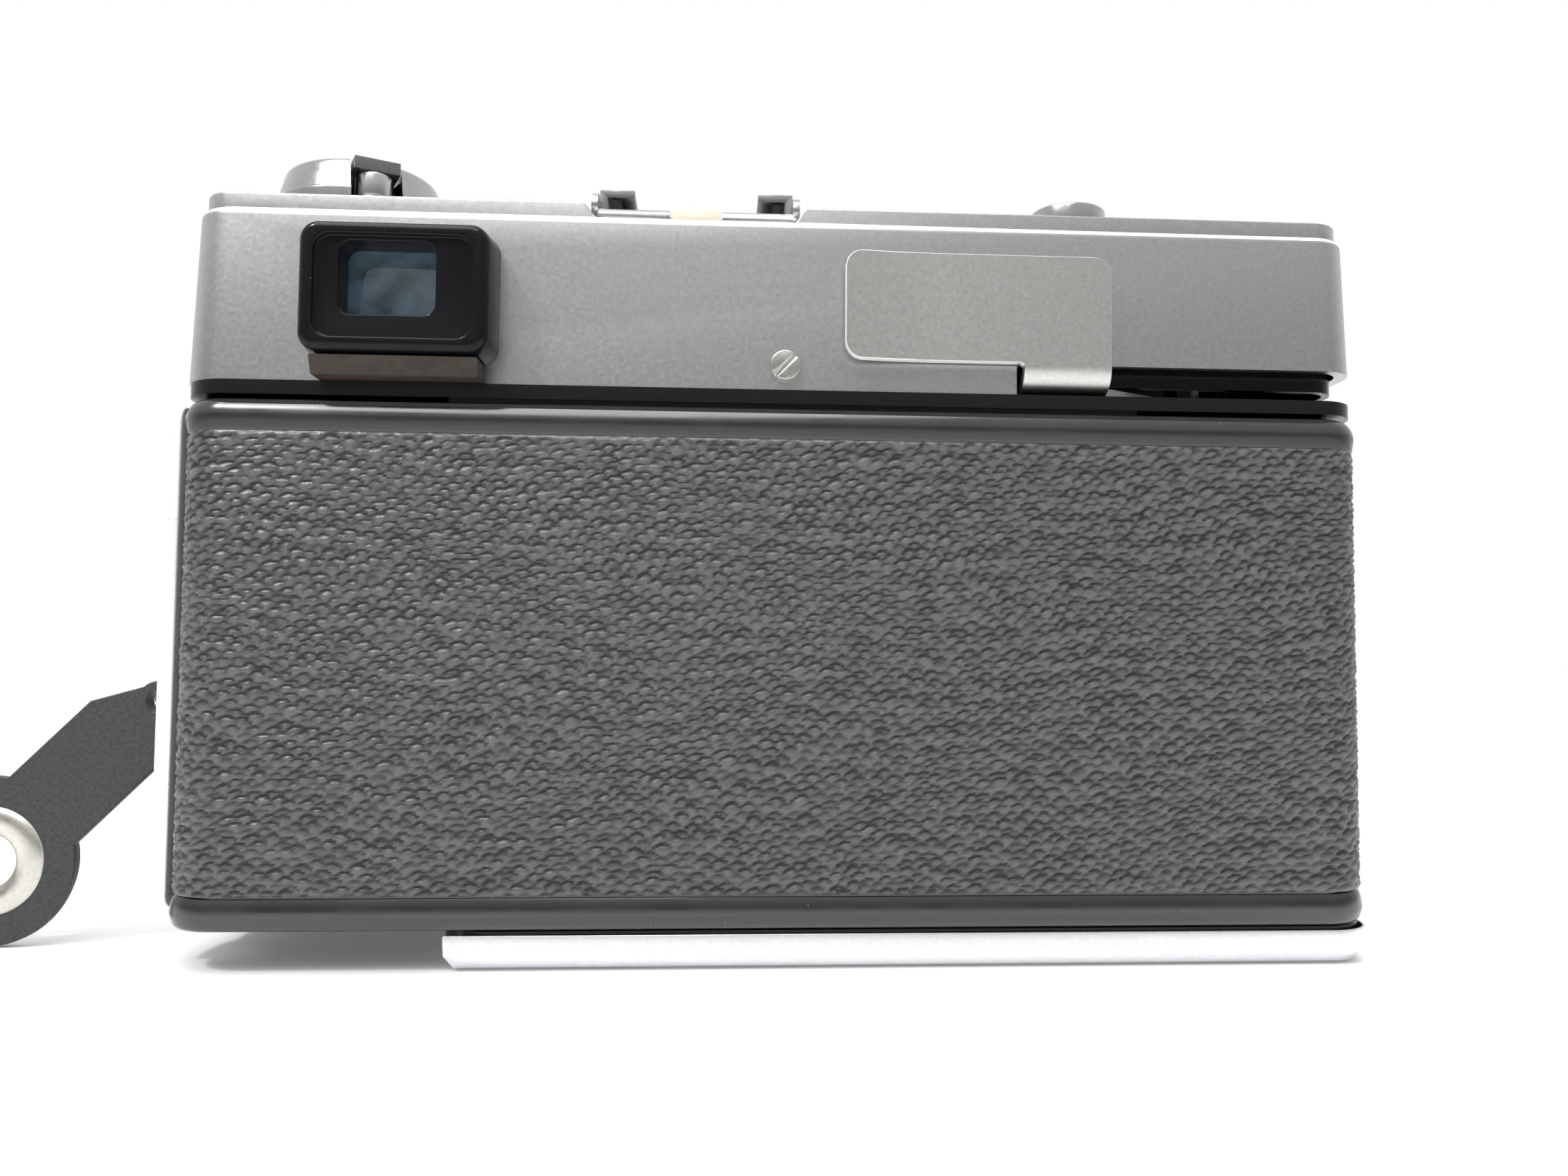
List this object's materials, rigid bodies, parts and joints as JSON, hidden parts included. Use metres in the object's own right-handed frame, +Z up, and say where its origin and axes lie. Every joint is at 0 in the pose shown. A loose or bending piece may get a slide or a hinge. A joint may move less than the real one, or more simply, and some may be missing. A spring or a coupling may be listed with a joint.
{
  "type": "rangefinder camera",
  "caption": "Compact film rangefinder camera body with fixed lens, hinged back, wind lever, rewind crank, accessory shoe and a short leather strap.",
  "frame": {"origin": "mouth of the tripod socket, on the face that the camera stands on", "axes": "+Z up; +Y the way the lens looks, so the back door faces -Y; +X to the viewer's right"},
  "size_m": [0.1588, 0.0632, 0.0841],
  "materials": {
    "black_casting": "die-cast, painted satin black",
    "door_enamel": "black enamel",
    "black_leatherette": "grained black leatherette",
    "satin_chrome": "fine satin chrome",
    "bright_chrome": "polished chrome",
    "lever_satin": "satin steel, a little warm",
    "black_plastic": "glossy black",
    "dark_brown": "dark brown",
    "coated_glass": "coated optical glass",
    "frosted_glass": "frosted",
    "mirror_glass": "silvered glass",
    "brass_part": "turned brass",
    "shoe_metal": "stamped, bright",
    "spring_steel": "bright spring steel",
    "ivory_plastic": "ivory insulator",
    "black_steel": "blackened steel",
    "screw_metal": "nickelled",
    "lens_black": "black anodised",
    "lens_silver": "satin anodised",
    "meter_glass": "cell window",
    "strap_leather": "worn black leather",
    "grommet_metal": "dull nickel"
  },
  "bodies": {
    "root": {"body_casting": "black_casting", "front_leatherette": "black_leatherette", "top_cover": "satin_chrome", "cover_screws": "screw_metal", "wind_shroud": "black_plastic", "eyepiece_frame": "black_plastic", "eyepiece_skirt": "dark_brown", "eyepiece_lens": "coated_glass", "window_bezel": "black_plastic", "finder_window": "coated_glass", "front_windows": "frosted_glass", "beam_splitter": "coated_glass", "accessory_shoe": "shoe_metal", "shoe_spring": "spring_steel", "shoe_insulator": "ivory_plastic", "shoe_contact": "bright_chrome", "base_plate": "satin_chrome", "tripod_socket": "brass_part", "base_screws": "screw_metal", "battery_cap": "bright_chrome", "hinge_pin": "spring_steel", "button_collar": "bright_chrome", "counter_window": "coated_glass", "lens_mount": "lens_silver", "strap_lugs": "bright_chrome"},
    "back_door": {"back_door": "door_enamel", "door_leatherette": "black_leatherette"},
    "pressure_plate": {"pressure_plate": "black_steel"},
    "door_latch": {"door_latch": "bright_chrome"},
    "rewind_sleeve": {"rewind_sleeve": "brass_part"},
    "rewind_knob": {"rewind_knob": "bright_chrome", "rewind_shaft": "spring_steel"},
    "rewind_crank": {"rewind_crank": "black_steel"},
    "crank_grip": {"crank_grip": "black_plastic"},
    "shutter_button": {"shutter_button": "bright_chrome"},
    "frame_counter": {"frame_counter": "black_plastic"},
    "wind_lever": {"wind_lever": "lever_satin", "wind_shaft": "spring_steel"},
    "take_up_spool": {"take_up_spool": "black_plastic"},
    "sprocket": {"sprocket": "lens_silver"},
    "rewind_release": {"rewind_release": "bright_chrome"},
    "focus_ring": {"focus_ring": "lens_black"},
    "lens_barrel": {"lens_barrel": "lens_black", "filter_ring": "lens_black", "front_element": "coated_glass", "rear_element": "coated_glass", "meter_cell": "meter_glass"},
    "speed_ring": {"speed_ring": "lens_silver"},
    "aperture_ring": {"aperture_ring": "lens_silver"},
    "mirror_arm": {"mirror_arm": "brass_part", "rangefinder_mirror": "mirror_glass"},
    "self_timer": {"self_timer": "bright_chrome"},
    "strap": {"strap": "strap_leather", "strap_ring": "bright_chrome", "strap_grommet": "grommet_metal"},
    "shutter_blade_1": {"shutter_blade_1": "black_steel"},
    "shutter_blade_2": {"shutter_blade_2": "black_steel"},
    "shutter_blade_3": {"shutter_blade_3": "black_steel"},
    "shutter_blade_4": {"shutter_blade_4": "black_steel"},
    "shutter_blade_5": {"shutter_blade_5": "black_steel"}
  },
  "joints": [
    {"name": "door_hinge", "type": "hinge", "parent": "root", "child": "back_door", "pos_m": [0.0598, -0.004, 0.0305], "axis": [0, 0, 1], "range_deg": [0, 110]},
    {"name": "plate_press", "type": "slide", "parent": "back_door", "child": "pressure_plate", "axis": [0, -1, 0], "range_m": [0, 0.0006], "stiffness_N_per_m": 600, "springref_m": -0.0005},
    {"name": "latch_slide", "type": "slide", "parent": "root", "child": "door_latch", "axis": [0, 0, -1], "range_m": [0, 0.003], "stiffness_N_per_m": 200, "springref_m": -0.001},
    {"name": "wind_stroke", "type": "hinge", "parent": "root", "child": "wind_lever", "pos_m": [0.047, -0.0025, 0.05965], "axis": [0, 0, 1], "range_deg": [0, 130], "stiffness_Nm_per_rad": 0.01, "springref_deg": -11.46},
    {"name": "spool_turn", "type": "hinge", "parent": "root", "child": "take_up_spool", "pos_m": [0.047, -0.0025, 0.0305], "axis": [0, 0, 1], "range_deg": [0, 325]},
    {"name": "sprocket_turn", "type": "hinge", "parent": "root", "child": "sprocket", "pos_m": [0.027, -0.0074, 0.0305], "axis": [0, 0, 1], "range_deg": [-360, 0]},
    {"name": "counter_turn", "type": "hinge", "parent": "root", "child": "frame_counter", "pos_m": [0.019, 0.002, 0.076], "axis": [0, 0, 1], "range_deg": [0, 10]},
    {"name": "rewind_lift", "type": "slide", "parent": "root", "child": "rewind_sleeve", "axis": [0, 0, 1], "range_m": [0, 0.008]},
    {"name": "rewind_turn", "type": "hinge", "parent": "rewind_sleeve", "child": "rewind_knob", "pos_m": [-0.0474, -0.003, 0.08], "axis": [0, 0, 1], "continuous": true},
    {"name": "crank_fold", "type": "hinge", "parent": "rewind_knob", "child": "rewind_crank", "pos_m": [-0.04854, -0.00066, 0.08335], "axis": [-0.8988, -0.4384, 0], "range_deg": [0, 180]},
    {"name": "grip_turn", "type": "hinge", "parent": "rewind_crank", "child": "crank_grip", "pos_m": [-0.04437, -0.0092, 0.081], "axis": [0, 0, 1], "continuous": true},
    {"name": "button_press", "type": "slide", "parent": "root", "child": "shutter_button", "axis": [0, 0, -1], "range_m": [0, 0.0018], "stiffness_N_per_m": 300, "springref_m": -0.001},
    {"name": "release_press", "type": "slide", "parent": "root", "child": "rewind_release", "axis": [0, 0, 1], "range_m": [0, 0.001], "stiffness_N_per_m": 200, "springref_m": -0.001},
    {"name": "focus_turn", "type": "hinge", "parent": "root", "child": "focus_ring", "pos_m": [0, 0.021, 0.0305], "axis": [0, -1, 0], "range_deg": [0, 120]},
    {"name": "lens_travel", "type": "slide", "parent": "root", "child": "lens_barrel", "axis": [0, 1, 0], "range_m": [0, 0.002]},
    {"name": "mirror_turn", "type": "hinge", "parent": "root", "child": "mirror_arm", "pos_m": [-0.008, 0.004, 0.062], "axis": [0, 0, 1], "range_deg": [0, 2.4]},
    {"name": "speed_turn", "type": "hinge", "parent": "lens_barrel", "child": "speed_ring", "pos_m": [0, 0.029, 0.0305], "axis": [0, 1, 0], "range_deg": [-60, 60]},
    {"name": "aperture_turn", "type": "hinge", "parent": "lens_barrel", "child": "aperture_ring", "pos_m": [0, 0.034, 0.0305], "axis": [0, 1, 0], "range_deg": [-30, 40]},
    {"name": "blade_turn_1", "type": "hinge", "parent": "lens_barrel", "child": "shutter_blade_1", "pos_m": [0.0156, 0.02, 0.0305], "axis": [0, -1, 0], "range_deg": [-15, 20]},
    {"name": "blade_turn_2", "type": "hinge", "parent": "lens_barrel", "child": "shutter_blade_2", "pos_m": [0.00482, 0.02, 0.01566], "axis": [0, -1, 0], "range_deg": [-15, 20]},
    {"name": "blade_turn_3", "type": "hinge", "parent": "lens_barrel", "child": "shutter_blade_3", "pos_m": [-0.01262, 0.02, 0.02133], "axis": [0, -1, 0], "range_deg": [-15, 20]},
    {"name": "blade_turn_4", "type": "hinge", "parent": "lens_barrel", "child": "shutter_blade_4", "pos_m": [-0.01262, 0.02, 0.03967], "axis": [0, -1, 0], "range_deg": [-15, 20]},
    {"name": "blade_turn_5", "type": "hinge", "parent": "lens_barrel", "child": "shutter_blade_5", "pos_m": [0.00482, 0.02, 0.04534], "axis": [0, -1, 0], "range_deg": [-15, 20]},
    {"name": "timer_wind", "type": "hinge", "parent": "root", "child": "self_timer", "pos_m": [0.036, 0.016, 0.0335], "axis": [0, 1, 0], "range_deg": [-100, 0]},
    {"name": "strap_swing", "type": "hinge", "parent": "root", "child": "strap", "pos_m": [-0.0638, -0.004, 0.02935], "axis": [0, 1, 0], "range_deg": [0, 90]}
  ],
  "couplings": [
    {"joint": "spool_turn", "follows": "wind_stroke", "ratio": 2.5},
    {"joint": "sprocket_turn", "follows": "wind_stroke", "ratio": -2.7692},
    {"joint": "counter_turn", "follows": "wind_stroke", "ratio": 0.0769},
    {"joint": "lens_travel", "follows": "focus_turn", "m_per_rad": 0.000954},
    {"joint": "mirror_turn", "follows": "focus_turn", "ratio": 0.02},
    {"joint": "blade_turn_1", "follows": "aperture_turn", "ratio": 0.5},
    {"joint": "blade_turn_2", "follows": "aperture_turn", "ratio": 0.5},
    {"joint": "blade_turn_3", "follows": "aperture_turn", "ratio": 0.5},
    {"joint": "blade_turn_4", "follows": "aperture_turn", "ratio": 0.5},
    {"joint": "blade_turn_5", "follows": "aperture_turn", "ratio": 0.5}
  ]
}
